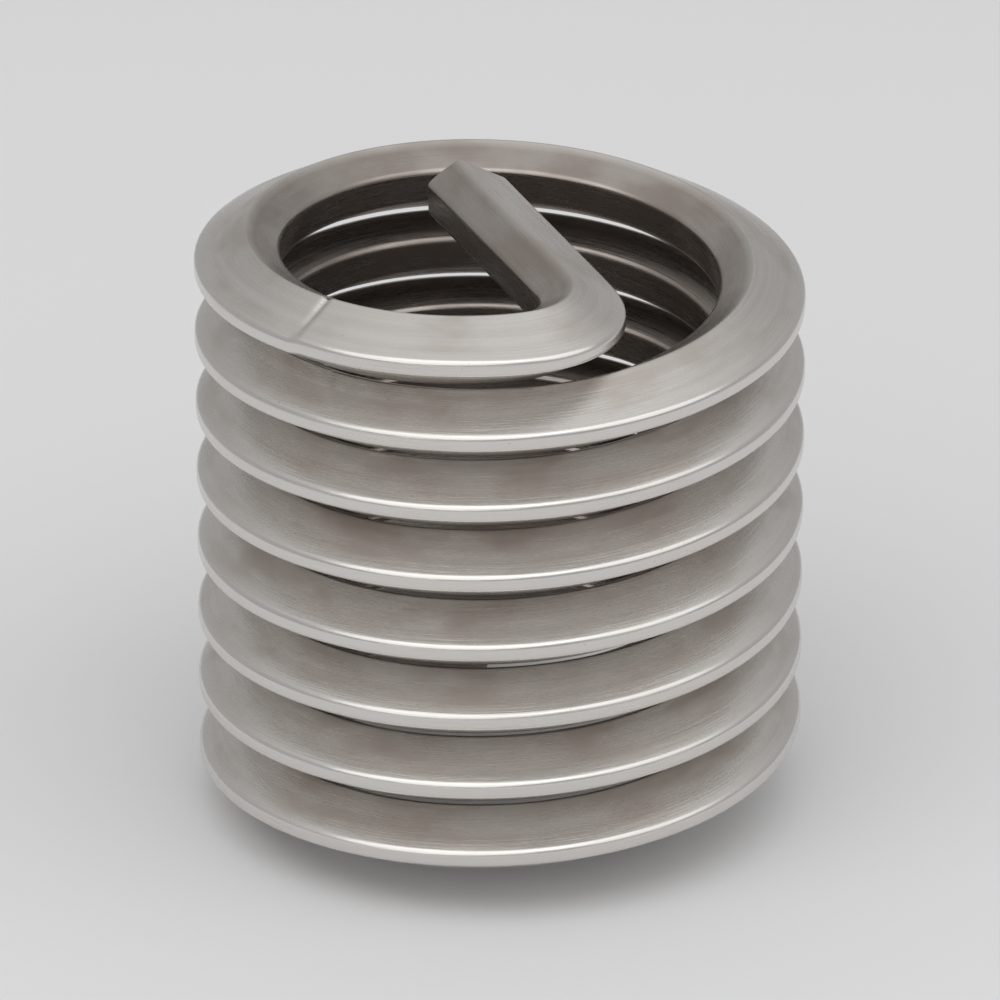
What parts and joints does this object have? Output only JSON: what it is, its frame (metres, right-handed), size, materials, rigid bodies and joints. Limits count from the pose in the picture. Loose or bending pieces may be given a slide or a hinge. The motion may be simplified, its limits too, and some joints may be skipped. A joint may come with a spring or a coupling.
{
  "type": "helical thread insert",
  "caption": "Coiled stainless wire thread insert, right-handed, with a notched driving tang bent across its bore at one end. It lines a tapped hole for an M8 screw.",
  "frame": {"origin": "on the coil's axis, level with the lowest edge of the free end that it stands on", "axes": "+Z along the coil's axis towards the tang, +Y the way the tang points across the bore"},
  "size_m": [0.01, 0.01, 0.0106],
  "materials": {
    "stainless_wire": "satin, rolled"
  },
  "bodies": {
    "root": {"wire_insert": "stainless_wire"}
  },
  "joints": []
}
